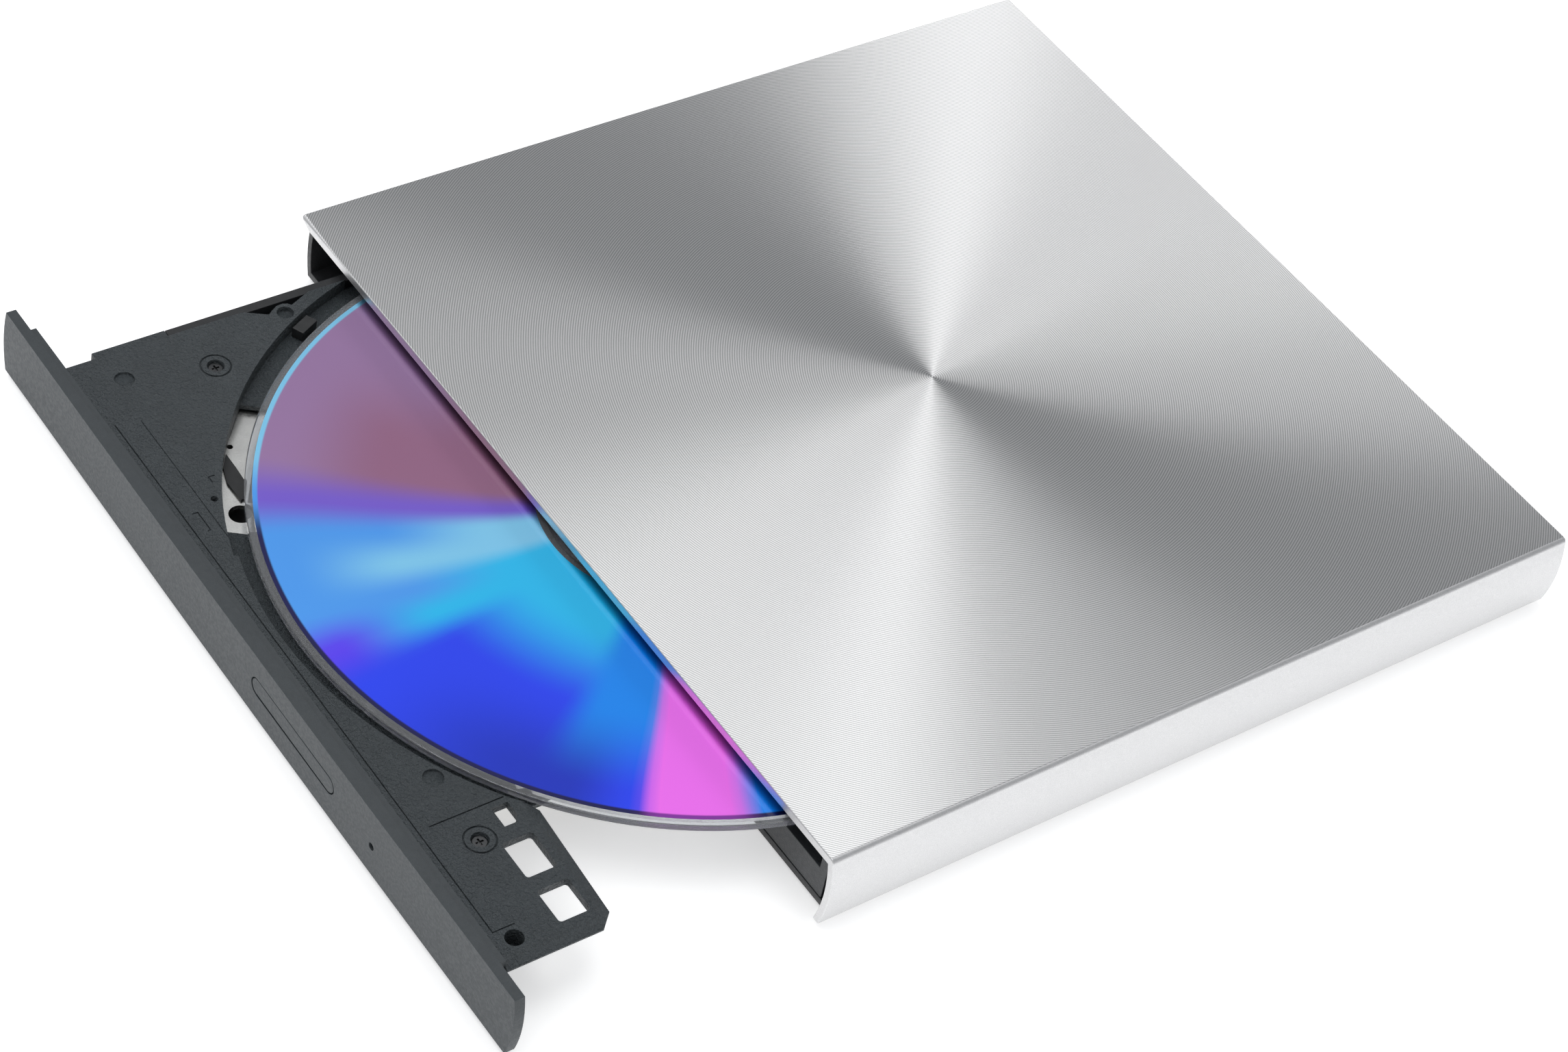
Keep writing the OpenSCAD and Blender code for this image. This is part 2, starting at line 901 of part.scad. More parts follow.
module seat_ring() {
  color("#101010")
    at_spindle()
      ring(11.4, 14, 10, disc_z);
}

module hub() {
  slots = 3;
  color("#2a2c2e")
    at_spindle()
      difference() {
        rotate_extrude()
          polygon([[0, 10], [7.35, 10], [7.35, 11.4], [6.4, 11.85], [0, 11.85]]);
        for (i = [0:slots - 1])
          rotate([0, 0, i * 360 / slots + 30])
            box(4.4, 9, -1.5, 1.5, 10.6, 12);
      }
}

module hub_pads() {
  slots = 3;
  color("#8d9194")
    at_spindle()
      for (i = [0:slots - 1])
        rotate([0, 0, i * 360 / slots + 30]) {
          box(4.5, 7.2, -1.3, 1.3, 10.65, 11.7);
          box(7.1, 7.75, -1.3, 1.3, 11.36, 11.7);
        }
}

module disc() {
  color("#8a7bd0")
    at_spindle()
      ring(hole_r, disc_r, disc_z, disc_z + disc_t);
}

// ---- pickup ----

module pickup_sled() {
  in0 = lens_r - 7;
  in1 = lens_r + 2.2;
  color("#5d6264")
    in_traverse()
      difference() {
        union() {
          box(in0, in1, -18.9, 18.9, 4, 6.6);
          box(in0, lens_r + 1.9, -5.6, 5.6, 4, 8.5);
          box(lens_r - 3, lens_r + 1, -23, -18.8, 4, 6.6);
        }
        for (side = [-1, 1])
          translate([0, side * rod_side, rod_z])
            rotate([0, 90, 0])
              cylinder(r = rod_r + 0.05, h = 100);
        translate([0, screw_side, rod_z])
          rotate([0, 90, 0])
            cylinder(r = screw_r + 0.1, h = 100);
        box(in0 + 1, lens_r + 1.4, -4.9, 4.9, 6.7, 9);
      }
}

module laser_unit() {
  color("#9b7b3f")
    in_traverse()
      box(lens_r - 6, lens_r + 1, 6.2, 13.6, 6.6, plate_low - 0.05);
}

module lens_holder() {
  color("#33373a")
    in_traverse()
      difference() {
        box(lens_r - 3.4, lens_r + 1.2, -4.5, 4.5, 7.2, 8.7);
        translate([lens_r - 0.6, 0])
          disc_of(1.6, 7, 9);
      }
}

module lens() {
  color("#86a8d8", 0.7)
    in_traverse()
      translate([lens_r - 0.6, 0]) {
        disc_of(1.58, 8, 8.85);
        disc_of(1.9, 8.7, 8.9);
      }
}

module lead_screw() {
  color("#d5d8da")
    in_traverse()
      translate([17.4, screw_side, rod_z])
        rotate([0, 90, 0])
          cylinder(r = screw_r, h = 44.8);
}

// ---- latch ----

module latch_lever() {
  color("#c9c3ad")
    difference() {
      union() {
        box(latch_x - 1, latch_x + 1, -73, latch_y, 4.4, 5.4);
        box(latch_x + 0.9, pin_x + 0.6, -73, -71.6, 4.4, 5.4);
        translate([latch_x, latch_y])
          disc_of(1.9, 4.4, 5.4);
        box(latch_x - 1, latch_x + 1, latch_y, latch_y + 4, 4.4, 5.4);
      }
      translate([latch_x, latch_y])
        disc_of(0.98, 4, 6);
    }
}

top_cover();
bottom_shell();
front_sill();
rubber_feet();
case_screws();
upper_case();
lower_case();
left_guide();
right_guide();
main_board();
main_chips();
board_shield();
bridge_board();
bridge_chips();
drive_plug();
usb_shell();
usb_tongue();
latch_pin();
left_rail();
right_rail();
tray_frame();
bezel();
tray_screws();
disc_stop();
bottom_plate();
traverse_plate();
pickup_flex();
dampers();
traverse_screws();
guide_rods();
sled_motor();
switch_board();
eject_switch();
latch_solenoid();
flex_cable();
motor_base();
stator();
bearing_sleeve();
eject_button();
latch_lever();
rotor_can();
magnet_ring();
spindle_shaft();
turntable();
seat_ring();
hub();
hub_pads();
disc();
pickup_sled();
laser_unit();
lens_holder();
lens();
lead_screw();
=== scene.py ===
"""Looks of the slim optical drive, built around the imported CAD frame.

Lengths are in millimetres until MM turns them into metres. Lights alone are placed in metres.
"""

import json
from math import cos, pi, radians, sin, sqrt

import bmesh
import bpy
from mathutils import Matrix, Vector


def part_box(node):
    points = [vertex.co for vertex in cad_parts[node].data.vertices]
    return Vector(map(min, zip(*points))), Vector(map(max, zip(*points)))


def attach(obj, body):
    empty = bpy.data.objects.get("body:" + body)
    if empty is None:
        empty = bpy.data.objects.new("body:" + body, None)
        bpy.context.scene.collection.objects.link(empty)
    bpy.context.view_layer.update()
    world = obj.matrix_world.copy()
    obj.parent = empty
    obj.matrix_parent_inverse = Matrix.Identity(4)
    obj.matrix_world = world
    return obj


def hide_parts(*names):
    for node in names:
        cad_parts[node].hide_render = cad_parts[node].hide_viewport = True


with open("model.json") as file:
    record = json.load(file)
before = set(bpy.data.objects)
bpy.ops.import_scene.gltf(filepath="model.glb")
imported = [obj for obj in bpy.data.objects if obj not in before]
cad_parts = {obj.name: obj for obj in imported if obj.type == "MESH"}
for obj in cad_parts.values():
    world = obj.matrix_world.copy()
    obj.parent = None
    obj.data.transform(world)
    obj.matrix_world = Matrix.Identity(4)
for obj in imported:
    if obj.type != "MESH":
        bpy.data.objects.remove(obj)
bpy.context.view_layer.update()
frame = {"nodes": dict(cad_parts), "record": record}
nodes = frame["nodes"]
scene = bpy.context.scene
MM = 0.001


def low_high(name):
    """A CAD node's lowest and highest corners, in millimetres."""
    low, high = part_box(name)
    return [c / MM for c in low], [c / MM for c in high]


# ---- camera ----

CAMERA_AT = (293.21, -283.60, 390.54)
AZIMUTH, ELEVATION, ROLL = 45.804, 44.274, 13.291
LENS = 85.898


def camera_turn(azimuth, elevation, roll):
    """Rotation that looks at the drive from that side and height, rolled about the line of sight."""
    back = Vector((sin(azimuth) * cos(elevation), -cos(azimuth) * cos(elevation), sin(elevation)))
    right = Vector((0, 0, 1)).cross(back).normalized()
    up = back.cross(right)
    across = right * cos(roll) + up * sin(roll)
    upward = up * cos(roll) - right * sin(roll)
    return Matrix((across, upward, back)).transposed().to_4x4()


camera = bpy.data.objects.new("camera", bpy.data.cameras.new("camera"))
camera.data.lens = LENS
camera.data.sensor_width = 36
camera.data.clip_start = 0.01
camera.matrix_world = Matrix.Translation(Vector(CAMERA_AT) * MM) @ camera_turn(
    radians(AZIMUTH), radians(ELEVATION), radians(ROLL)
)
scene.collection.objects.link(camera)
scene.camera = camera
scene.view_settings.view_transform = "Standard"


# ---- light ----


# name, place and aim in metres, width and height, power
LIGHTS = (
    ("overhead", (0.02, 0.13, 1.25), (0, 0.02, 0), (0.30, 0.30), 0.6),
    ("canopy", (-0.24, -0.16, 1.15), (0, 0, 0), (1.1, 1.1), 3.7),
    ("ceiling", (-0.42, -0.26, 1.6), (0, 0, 0), (2.4, 2.2), 9.0),
    ("right_low", (1.2, 0.1, 0.45), (0, 0, 0), (0.5, 0.9), 0.7),
    ("rear_left", (-0.76, 0.72, 0.36), (0, -0.03, 0), (0.16, 0.16), 0.6),
    ("rear", (-0.34, 0.93, 0.42), (0, 0, 0), (0.34, 0.2), 0.6),
)


def softbox(name, at, aim, size, power):
    """A rectangular area light, facing aim."""
    lamp = bpy.data.lights.new(name, "AREA")
    lamp.shape = "RECTANGLE"
    lamp.size, lamp.size_y = size
    lamp.energy = power
    obj = bpy.data.objects.new(name, lamp)
    obj.location = at
    obj.rotation_euler = (Vector(aim) - Vector(at)).to_track_quat("-Z", "Y").to_euler()
    scene.collection.objects.link(obj)


for light in LIGHTS:
    softbox(*light)

world = bpy.data.worlds.new("studio")
world.use_nodes = True
world.node_tree.nodes["Background"].inputs["Color"].default_value = (0.95, 0.97, 1, 1)
world.node_tree.nodes["Background"].inputs["Strength"].default_value = 0.35
scene.world = world


# ---- materials ----


class Look:
    """One procedural material. Its methods add a node and return the socket that comes out of it."""

    def __init__(self, name, colour, rough, metal=0.0, **sockets):
        self.material = bpy.data.materials.new(name)
        self.material.use_nodes = True
        self.tree = self.material.node_tree
        self.shader = self.tree.nodes["Principled BSDF"]
        self.put("Base Color", (*colour, 1))
        self.put("Roughness", rough)
        self.put("Metallic", metal)
        for socket, value in sockets.items():
            self.put(socket.replace("_", " "), value)
        self.place = self.add("ShaderNodeTexCoord").outputs["Object"]

    def put(self, socket, value):
        """Sets one of the shader's own sockets."""
        self.fill(self.shader.inputs[socket], value)

    def fill(self, socket, value):
        """Links another node's socket in, or sets a plain value."""
        if isinstance(value, bpy.types.NodeSocket):
            self.tree.links.new(value, socket)
        else:
            socket.default_value = value

    def add(self, kind, inputs=(), **settings):
        """A node with its inputs and settings."""
        made = self.tree.nodes.new(kind)
        for key, value in settings.items():
            setattr(made, key, value)
        for socket, value in dict(inputs).items():
            self.fill(made.inputs[socket], value)
        return made

    def math(self, operation, *values, clamp=False):
        """A Math node."""
        made = self.add("ShaderNodeMath", enumerate(values), operation=operation, use_clamp=clamp)
        return made.outputs[0]

    def vec(self, operation, *values):
        """A Vector Math node."""
        made = self.add("ShaderNodeVectorMath", enumerate(values), operation=operation)
        return made.outputs["Value" if operation == "LENGTH" else "Vector"]

    def noise(self, grain, detail=2.0, stretch=(1, 1, 1), rough=0.5):
        """Noise whose blobs are grain millimetres across."""
        at = self.vec("MULTIPLY", self.place, stretch)
        inputs = {"Vector": at, "Scale": 1 / (grain * MM), "Detail": detail, "Roughness": rough}
        return self.add("ShaderNodeTexNoise", inputs).outputs[0]

    def spread(self, value, low, high, to_low, to_high):
        """A value's range, mapped to another with smooth ends."""
        inputs = {0: value, 1: low, 2: high, 3: to_low, 4: to_high}
        made = self.add("ShaderNodeMapRange", inputs, interpolation_type="SMOOTHSTEP")
        return made.outputs[0]

    def widen(self, noise, to_low=0, to_high=1):
        """Noise, most of which lies between 0.3 and 0.7, mapped to a range."""
        return self.spread(noise, 0.3, 0.7, to_low, to_high)

    def blend(self, share, a, b):
        """A colour between a and b."""
        made = self.add("ShaderNodeMix", data_type="RGBA")
        for socket, value in ((0, share), (6, a), (7, b)):
            if isinstance(value, tuple) and len(value) == 3:
                value = (*value, 1)
            self.fill(made.inputs[socket], value)
        return made.outputs[2]

    def ramp(self, share, stops):
        """A colour ramp of (position, colour) stops."""
        made = self.add("ShaderNodeValToRGB", {0: share})
        line = made.color_ramp
        line.interpolation = "EASE"
        while len(line.elements) < len(stops):
            line.elements.new(0.5)
        for point, (at, colour) in zip(line.elements, stops):
            point.position = at
            point.color = (*colour, 1)
        return made.outputs[0]

    def bump(self, *layers):
        """Heights as (socket, depth in millimetres), one on another."""
        normal = None
        for height, depth in layers:
            made = self.add("ShaderNodeBump", {"Height": height, "Distance": depth * MM, "Strength": 1.0})
            if normal:
                self.fill(made.inputs["Normal"], normal)
            normal = made.outputs[0]
        self.put("Normal", normal)


def plastic(name, colour, rough, grain, depth, mottle=0.12, **sockets):
    """Moulded plastic with a fine eroded grain and slightly uneven colour and gloss."""
    look = Look(name, colour, rough, **sockets)
    cloud = look.noise(grain * 9, 3)
    dark = tuple(c * (1 - mottle) for c in colour)
    light = tuple(c * (1 + mottle) for c in colour)
    look.put("Base Color", look.blend(look.widen(cloud), dark, light))
    look.put("Roughness", look.widen(look.noise(grain * 3, 2), rough - 0.05, rough + 0.07))
    if depth:
        look.bump((look.noise(grain, 3, rough=0.6), depth))
    return look


def metal(name, colour, rough, stretch=(1, 1, 1), grain=0.35, depth=0.004, tint=0.08, **sockets):
    """Metal with rolling or plating marks along the stretched way."""
    look = Look(name, colour, rough, 1.0, **sockets)
    marks = look.noise(grain, 3, stretch)
    dark = tuple(c * (1 - tint) for c in colour)
    light = tuple(min(1, c * (1 + tint)) for c in colour)
    look.put("Base Color", look.blend(look.widen(marks), dark, light))
    look.put("Roughness", look.widen(look.noise(grain * 8, 2), rough * 0.85, rough * 1.2))
    look.bump((marks, depth))
    return look


PLATE_CENTRE = (0.0, 24.75)
GROOVE = 0.367  # from one turned groove to the next


def turned_plate():
    """Aluminium turned in concentric grooves about the middle of the plate."""
    look = Look("turned_plate", (0.83, 0.83, 0.835), 0.42, 1.0, Anisotropic=1.0)
    centre = tuple(c * MM for c in PLATE_CENTRE)
    out = look.vec("MULTIPLY", look.vec("SUBTRACT", look.place, (*centre, 0)), (1, 1, 0))
    radius = look.vec("LENGTH", out)
    wobble = look.math("MULTIPLY", look.noise(6, 1), 0.04 * MM)
    phase = look.math("MULTIPLY", look.math("ADD", radius, wobble), 2 * pi / (GROOVE * MM))
    wave = look.math("SINE", phase)
    line = look.spread(wave, -1, 1, 0, 1)
    fine = look.noise(0.16, 2)
    shade = look.math("ADD", look.math("MULTIPLY", line, 0.75), look.math("MULTIPLY", fine, 0.25))
    look.put("Base Color", look.blend(shade, (0.52, 0.52, 0.525), (1.0, 1.0, 1.0)))
    look.put("Tangent", look.vec("NORMALIZE", out))
    look.bump((wave, 0.004), (fine, 0.006))
    return look


def satin_wall():
    """The folded wall: bead-blasted, with a fine sparkle."""
    look = Look("satin_wall", (0.83, 0.83, 0.835), 0.34, 1.0)
    speck = look.noise(0.12, 3, rough=0.7)
    look.put("Base Color", look.blend(look.widen(speck), (0.67, 0.67, 0.675), (0.80, 0.80, 0.805)))
    look.put("Roughness", look.widen(look.noise(0.5, 2), 0.42, 0.5))
    look.bump((speck, 0.006))
    return look


DISPLAY_GAMMA = 2.2
TONE_GAIN = 1.2  # the disc is lit a little below white


def tone(*displayed):
    """A displayed colour as the linear colour of the surface that shows it."""
    return tuple(min(1.0, TONE_GAIN * c**DISPLAY_GAMMA) for c in displayed)


TRACK_PITCH = 0.9


def disc_painted_rainbow():
    """Data side of the disc: a metal layer with fine track bumps. Its bands of colour are a painted
    reflection: the rainbow that the tracks split from the lamps is painted into its colour by angle and
    radius about the disc.
    """
    look = Look("disc_painted_rainbow", (0.3, 0.3, 0.8), 0.42, 0.9, Coat_Weight=1.0, Coat_Roughness=0.02, Coat_IOR=1.58)
    low, high = low_high("disc")
    centre = [(a + b) / 2 * MM for a, b in zip(low, high)]
    out = look.vec("SUBTRACT", look.place, (centre[0], centre[1], 0))
    parts = look.add("ShaderNodeSeparateXYZ", {0: out}).outputs
    turn = look.math("ARCTAN2", parts[1], parts[0])
    turn = look.math("ADD", look.math("MULTIPLY", turn, 1 / (2 * pi)), 0.5)
    radius = look.vec("LENGTH", look.vec("MULTIPLY", out, (1, 1, 0)))
    # the borders between the bands lean forward a little from the hub to the rim
    turn = look.math("ADD", turn, look.spread(radius, 20 * MM, 58 * MM, -0.010, 0))
    # painted reflection: the rainbow colours are set by angle and radius about the disc, not split from the
    # lamps
    colour = look.ramp(turn, INNER)
    for start, end, colours in RINGS:
        colour = look.blend(look.spread(radius, start * MM, end * MM, 0, 1), colour, look.ramp(turn, colours))
    look.put("Base Color", colour)
    tracks = look.math("SINE", look.math("MULTIPLY", radius, 2 * pi / (TRACK_PITCH * MM)))
    look.bump((tracks, 0.0004))
    return look


# colours of the painted rainbow reflection, as the lit disc shows them
MAUVE, ROSE, VIOLET = tone(0.60, 0.47, 0.64), tone(0.58, 0.40, 0.52), tone(0.46, 0.36, 0.80)
AZURE, SKY, CYAN = tone(0.30, 0.60, 0.98), tone(0.50, 0.78, 0.99), tone(0.15, 0.72, 1.00)
INDIGO, BLUE, NAVY = tone(0.35, 0.25, 0.98), tone(0.15, 0.26, 0.95), tone(0.10, 0.20, 0.72)
TEAL, PINK = tone(0.04, 0.52, 0.92), tone(0.97, 0.43, 1.00)
NIGHT, PLUM = tone(0.08, 0.08, 0.30), tone(0.50, 0.20, 0.60)
# Turn about the disc: 0 is straight to the left, 0.25 to the front, 0.5 to the right, 0.75 to the rear
STOPS = (0.06, 0.12, 0.15, 0.175, 0.195, 0.22, 0.24, 0.26, 0.28, 0.35, 0.37, 0.397, 0.405, 0.434, 0.446)


def bands(*colours):
    """One colour at each stop about the front, and the same again about the rear."""
    meet = tuple((a + b) / 2 for a, b in zip(colours[0], colours[-1]))
    front = tuple(zip(STOPS, colours, strict=True))
    return ((0.0, meet), *front, *((at + 0.5, colour) for at, colour in front), (1.0, meet))


# rings of the painted rainbow reflection, from the rim inwards
OUTER = bands(
    MAUVE, MAUVE, MAUVE, VIOLET, AZURE, AZURE, AZURE, INDIGO, BLUE, NAVY, NAVY, BLUE, PINK, PINK, TEAL
)
MIDDLE = bands(MAUVE, ROSE, ROSE, VIOLET, AZURE, SKY, AZURE, CYAN, BLUE, BLUE, TEAL, TEAL, PINK, PINK, TEAL)
INNER = bands(ROSE, ROSE, ROSE, VIOLET, SKY, SKY, CYAN, CYAN, CYAN, CYAN, TEAL, TEAL, PINK, PINK, CYAN)
# EDGE: a painted light line to the left and a painted dark band elsewhere, just inside the clear rim
EDGE = bands(SKY, SKY, SKY, AZURE, NIGHT, NIGHT, NIGHT, NIGHT, NIGHT, NIGHT, NIGHT, NIGHT, PLUM, PLUM, NIGHT)


# each ring's colours take over between two radii
RINGS = ((26, 42, MIDDLE), (40, 56, OUTER), (58.0, 58.35, EDGE))


def clear_plastic():
    """Polycarbonate with a faint moulding swirl."""
    look = Look("disc_clear", (0.93, 0.95, 0.98), 0.03, Transmission_Weight=0.9, IOR=1.5)
    look.put("Roughness", look.widen(look.noise(2, 2), 0.02, 0.05))
    look.bump((look.noise(3, 1), 0.003))
    return look


def winding():
    """Enamelled wire wound in fine turns."""
    look = Look("copper", (0.62, 0.27, 0.1), 0.3, 0.9)
    wave = look.add("ShaderNodeTexWave", {"Vector": look.place, "Scale": 900.0, "Distortion": 0.6}).outputs[1]
    look.put("Base Color", look.blend(wave, (0.42, 0.15, 0.04), (0.78, 0.38, 0.15)))
    look.bump((wave, 0.03))
    return look


def board():
    """Solder mask with copper tracks under it and pads on it."""
    look = Look("pcb", (0.02, 0.12, 0.06), 0.35, Coat_Weight=0.4, Coat_Roughness=0.2)
    inputs = {"Vector": look.place, "Scale": 700.0}
    cells = look.add("ShaderNodeTexVoronoi", inputs, distance="MANHATTAN", feature="DISTANCE_TO_EDGE")
    cells = cells.outputs["Distance"]
    track = look.spread(cells, 0.04, 0.09, 1, 0)
    look.put("Base Color", look.blend(track, (0.012, 0.085, 0.04), (0.03, 0.19, 0.08)))
    look.bump((track, 0.03))
    return look


MATERIALS = {
    "turned_aluminium": satin_wall(),
    "shell_black": plastic("shell_black", (0.020, 0.021, 0.023), 0.42, 0.25, 0.05),
    "sill_black": plastic("sill_black", (0.030, 0.033, 0.037), 0.36, 0.25, 0.05),
    "rubber": plastic("rubber", (0.022, 0.022, 0.022), 0.75, 0.15, 0.02),
    "screw_steel": metal("screw_steel", (0.09, 0.092, 0.095), 0.36, depth=0.003),
    "sheet_steel": metal("sheet_steel", (0.56, 0.575, 0.58), 0.34, (1, 14, 1)),
    "guide_black": plastic("guide_black", (0.05, 0.052, 0.055), 0.35, 0.3, 0.006),
    "pcb": board(),
    "chip": plastic("chip", (0.018, 0.018, 0.019), 0.5, 0.12, 0.008),
    "plug_white": plastic("plug_white", (0.72, 0.69, 0.60), 0.4, 0.3, 0.004, 0.05),
    "nickel": metal("nickel", (0.66, 0.67, 0.68), 0.25, (1, 1, 6)),
    "tongue_black": plastic("tongue_black", (0.02, 0.021, 0.023), 0.35, 0.2, 0.004),
    "rail_black": plastic("rail_black", (0.018, 0.019, 0.021), 0.38, 0.4, 0.05),
    "tray_grey": plastic("tray_grey", (0.066, 0.078, 0.085), 0.36, 0.45, 1.0, 0.05),
    "bezel_grey": plastic("bezel_grey", (0.042, 0.051, 0.057), 0.46, 0.16, 0.045, 0.05),
    "stop_black": plastic("stop_black", (0.02, 0.021, 0.022), 0.35, 0.2, 0.006),
    "bright_steel": metal("bright_steel", (0.78, 0.78, 0.76), 0.24, (1, 10, 1)),
    "rod_steel": metal("rod_steel", (0.76, 0.77, 0.78), 0.14, (1, 1, 12), depth=0.001),
    "copper": winding(),
    "flex_amber": plastic("flex_amber", (0.48, 0.25, 0.05), 0.3, 0.6, 0.01, 0.2, Coat_Weight=0.6),
    "bronze": metal("bronze", (0.55, 0.40, 0.17), 0.35, depth=0.004),
    "magnet": plastic("magnet", (0.05, 0.05, 0.052), 0.5, 0.15, 0.01),
    "turntable_black": plastic("turntable_black", (0.022, 0.023, 0.025), 0.32, 0.3, 0.004),
    "pad_steel": metal("pad_steel", (0.42, 0.43, 0.44), 0.3),
    "disc_data": disc_painted_rainbow(),
    "sled_zinc": metal("sled_zinc", (0.30, 0.31, 0.32), 0.5, depth=0.012),
    "laser_gold": metal("laser_gold", (0.62, 0.44, 0.16), 0.3),
    "holder_dark": plastic("holder_dark", (0.03, 0.033, 0.036), 0.45, 0.15, 0.008),
    "lens_glass": Look("lens_glass", (0.55, 0.70, 0.95), 0.02, Transmission_Weight=0.8, Coat_Weight=1.0),
    "latch_white": plastic("latch_white", (0.62, 0.59, 0.48), 0.38, 0.3, 0.004, 0.06),
}


def dress(obj, *looks):
    """Gives an object these materials and no others."""
    while obj.data.materials:
        obj.data.materials.pop()
    for look in looks:
        obj.data.materials.append(look.material)


for part in frame["record"]["subparts"]:
    dress(nodes[part["node"]], MATERIALS[part["material_slot"]])


# ---- mesh helpers ----


def rounded(obj, width, segments=2, angle=35):
    """Rounds an object's hard edges with modifiers, which leave its own mesh as it is."""
    weld = obj.modifiers.new("weld", "WELD")
    weld.merge_threshold = 1e-6
    flat = obj.modifiers.new("flat", "DECIMATE")
    flat.decimate_type = "DISSOLVE"
    flat.angle_limit = radians(0.3)
    bevel = obj.modifiers.new("round", "BEVEL")
    bevel.width = width * MM
    bevel.segments = segments
    bevel.limit_method = "ANGLE"
    bevel.angle_limit = radians(angle)
    bevel.use_clamp_overlap = True
    normals = obj.modifiers.new("normals", "WEIGHTED_NORMAL")
    normals.keep_sharp = True
    if "custom_normal" in obj.data.attributes:
        obj.data.attributes.remove(obj.data.attributes["custom_normal"])
    obj.data.shade_smooth()


def piece(name, bm, body, looks, replaces=()):
    """Turns a bmesh in millimetres into a piece that rides on a body."""
    mesh = bpy.data.meshes.new(name)
    for look in looks:
        mesh.materials.append(look.material)
    bmesh.ops.recalc_face_normals(bm, faces=bm.faces)
    bm.to_mesh(mesh)
    bm.free()
    mesh.transform(Matrix.Scale(MM, 4))
    obj = bpy.data.objects.new(name, mesh)
    scene.collection.objects.link(obj)
    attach(obj, body)
    if replaces:
        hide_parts(*replaces)
    return obj


def sweep(bm, outline, y0, y1):
    """A closed outline in X and Z, made solid from y0 to y1."""
    near = [bm.verts.new((x, y0, z)) for x, z in outline]
    far = [bm.verts.new((x, y1, z)) for x, z in outline]
    count = len(outline)
    for i in range(count):
        j = (i + 1) % count
        bm.faces.new((near[i], near[j], far[j], far[i]))
    bm.faces.new(near[::-1])
    bm.faces.new(far)


def lathe(bm, section, centre, steps):
    """A closed section of (radius, height), turned about the vertical line through centre."""
    rings = []
    for i in range(steps):
        a = 2 * pi * i / steps
        rings.append([bm.verts.new((centre[0] + r * cos(a), centre[1] + r * sin(a), z)) for r, z in section])
    count = len(section)
    for i in range(steps):
        one, two = rings[i], rings[(i + 1) % steps]
        for k in range(count):
            m = (k + 1) % count
            bm.faces.new((one[k], two[k], two[m], one[m]))


# ---- cover ----


def arc(centre, radius, a0, a1, steps):
    """Points on an arc, angles in degrees."""
    turns = [radians(a0 + (a1 - a0) * i / steps) for i in range(steps + 1)]
    return [(centre[0] + radius * cos(t), centre[1] + radius * sin(t)) for t in turns]


PLATE, WALL, BEND = 1.5, 1.25, 0.9  # thickness of plate and wall, radius of the bend between them
BULGE, BULGE_Z = 0.8, 7.0  # how far the wall swells past the bend, and the height where it does
LIP, LAP = 0.4, 2.5  # the plate's left edge: its height, and the slope under it
MARGIN = 12  # the flat top also has points this far from its sides, and one in the middle
WALL_STEPS, BEND_STEPS = 18, 8
CHAMFER = 0.55
NEAR = 0.01


def cover_outline():
    """Section of the cover: plate, tight bend, and the wall that bulges out and tucks in at its foot."""
    (left, _, foot), (right, _, top) = low_high("top_cover")
    bend_x, bend_z = right - BULGE - BEND, top - BEND
    chord = bend_z - BULGE_Z
    radius = (chord * chord + BULGE * BULGE) / (2 * BULGE)

    def wall(start, end, inset):
        """Points on the curved wall, at heights from start to end."""
        heights = [start + (end - start) * i / WALL_STEPS for i in range(WALL_STEPS + 1)]
        return [(right - radius + sqrt((radius - inset) ** 2 - (z - BULGE_Z) ** 2), z) for z in heights]

    outline = [(left, top - LIP), (left, top)]
    outline += [(left + MARGIN, top), (0, top), (right - BULGE - MARGIN, top)]
    outline += arc((bend_x, bend_z), BEND, 90, 0, BEND_STEPS)[:-1]
    outline += wall(bend_z, foot, 0) + wall(foot, top - PLATE, WALL)
    return outline + [(left + LAP, top - PLATE)]


def make_cover():
    """The cover with its front edge chamfered and its top turned."""
    low, high = low_high("top_cover")
    bm = bmesh.new()
    sweep(bm, cover_outline(), low[1], high[1])

    def at_front_top(vert):
        return vert.co.y < low[1] + NEAR and vert.co.z > high[2] - NEAR

    front = [edge for edge in bm.edges if all(at_front_top(vert) for vert in edge.verts)]
    bmesh.ops.bevel(bm, geom=front, offset=CHAMFER, segments=1, affect="EDGES")
    # the turned material takes the flat top and the first facet of the bend
    for face in bm.faces:
        if face.normal.z > 0.99 and face.calc_center_median().z > high[2] - 0.05:
            face.material_index = 1
    looks = (MATERIALS["turned_aluminium"], turned_plate())
    obj = piece("cover_skin", bm, "housing", looks, ["top_cover"])
    rounded(obj, 0.22, segments=3, angle=28)


make_cover()


# ---- disc ----


DATA_EDGE = 1.1  # clear rim outside the data layer
HUB_R, HOLE_R = 18.6, 7.5
RIDGE = (16.6, 17, 17.4)  # foot, crest and foot of the stacking ridge below the clear middle
RIDGE_DROP = 0.2
DISC_SOFT = 0.12  # slope on the edges of the rim and the hole
RIM_STEPS, HUB_STEPS = 192, 96


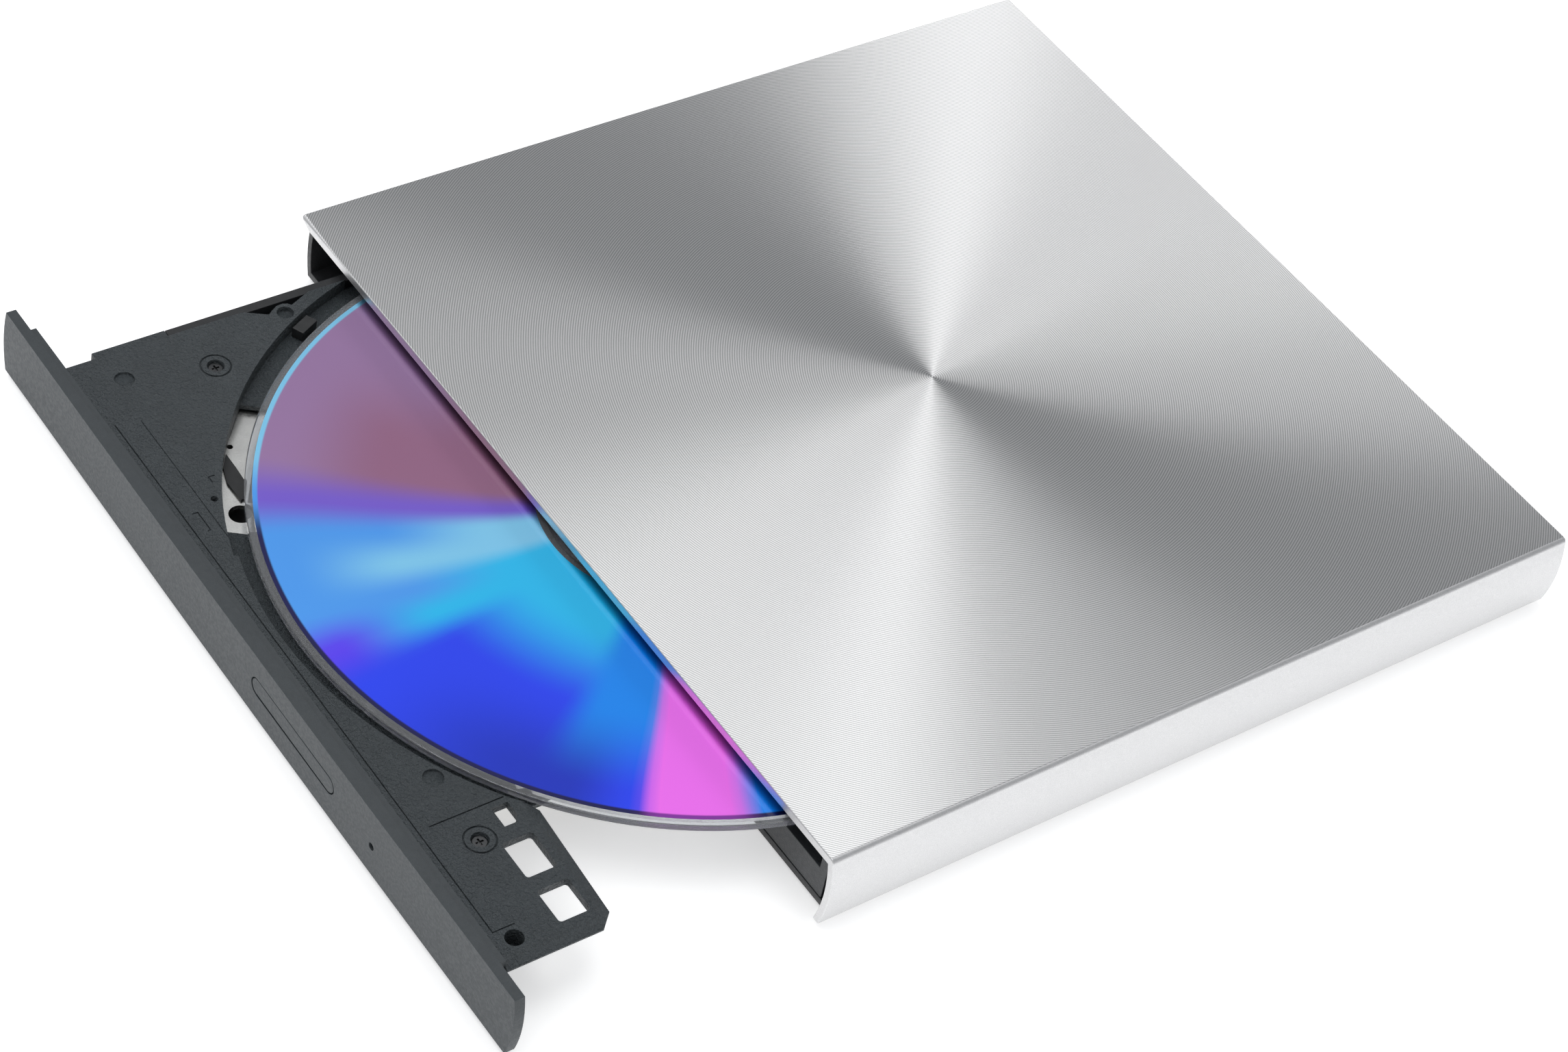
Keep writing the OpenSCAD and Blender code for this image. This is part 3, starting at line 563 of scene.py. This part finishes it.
def make_disc():
    """The disc in three pieces: data ring, clear rim and clear middle."""
    low, high = low_high("disc")
    centre = ((low[0] + high[0]) / 2, (low[1] + high[1]) / 2)
    outer = (high[0] - low[0]) / 2
    base, top = low[2], high[2]
    face_r = outer - DATA_EDGE
    bm = bmesh.new()
    lathe(bm, [(HUB_R, base), (face_r, base), (face_r, top), (HUB_R, top)], centre, RIM_STEPS)
    for face in bm.faces:
        if face.calc_center_median().z < base + NEAR:
            face.material_index = 1
    label = metal("disc_label", (0.62, 0.62, 0.63), 0.45)
    piece("disc_data_ring", bm, "spindle", (MATERIALS["disc_data"], label), ["disc"])
    clear = clear_plastic()
    shoulder = outer - DISC_SOFT
    rim = [(face_r, base), (shoulder, base), (outer, base + DISC_SOFT)]
    rim += [(outer, top - DISC_SOFT), (shoulder, top), (face_r, top)]
    bm = bmesh.new()
    lathe(bm, rim, centre, RIM_STEPS)
    piece("disc_rim", bm, "spindle", (clear,))
    middle = [(HOLE_R, base), (RIDGE[0], base), (RIDGE[1], base - RIDGE_DROP), (RIDGE[2], base)]
    middle += [(HUB_R, base), (HUB_R, top), (HOLE_R + DISC_SOFT, top), (HOLE_R, top - DISC_SOFT)]
    bm = bmesh.new()
    lathe(bm, middle, centre, HUB_STEPS)
    piece("disc_middle", bm, "spindle", (clear,))


make_disc()

EDGE_WIDTH = 0.12
ROUNDED = (
    "tray_frame", "bezel", "bottom_shell", "front_sill",
    "left_rail", "right_rail", "eject_button", "disc_stop",
)
for name in ROUNDED:
    rounded(nodes[name], EDGE_WIDTH)


# ---- floor ----


def make_floor():
    """A pale floor, a little luminous so that its shadows stay faint."""
    mesh = bpy.data.meshes.new("floor")
    bm = bmesh.new()
    bmesh.ops.create_grid(bm, x_segments=2, y_segments=2, size=4)
    bm.to_mesh(mesh)
    bm.free()
    obj = bpy.data.objects.new("floor", mesh)
    scene.collection.objects.link(obj)
    look = Look("floor", (0.93, 0.93, 0.93), 0.7)
    look.put("Base Color", look.blend(look.noise(200, 1), (0.93, 0.93, 0.93), (0.95, 0.95, 0.95)))
    look.put("Emission Color", (1, 1, 1, 1))
    look.put("Emission Strength", 0.5)
    dress(obj, look)


make_floor()
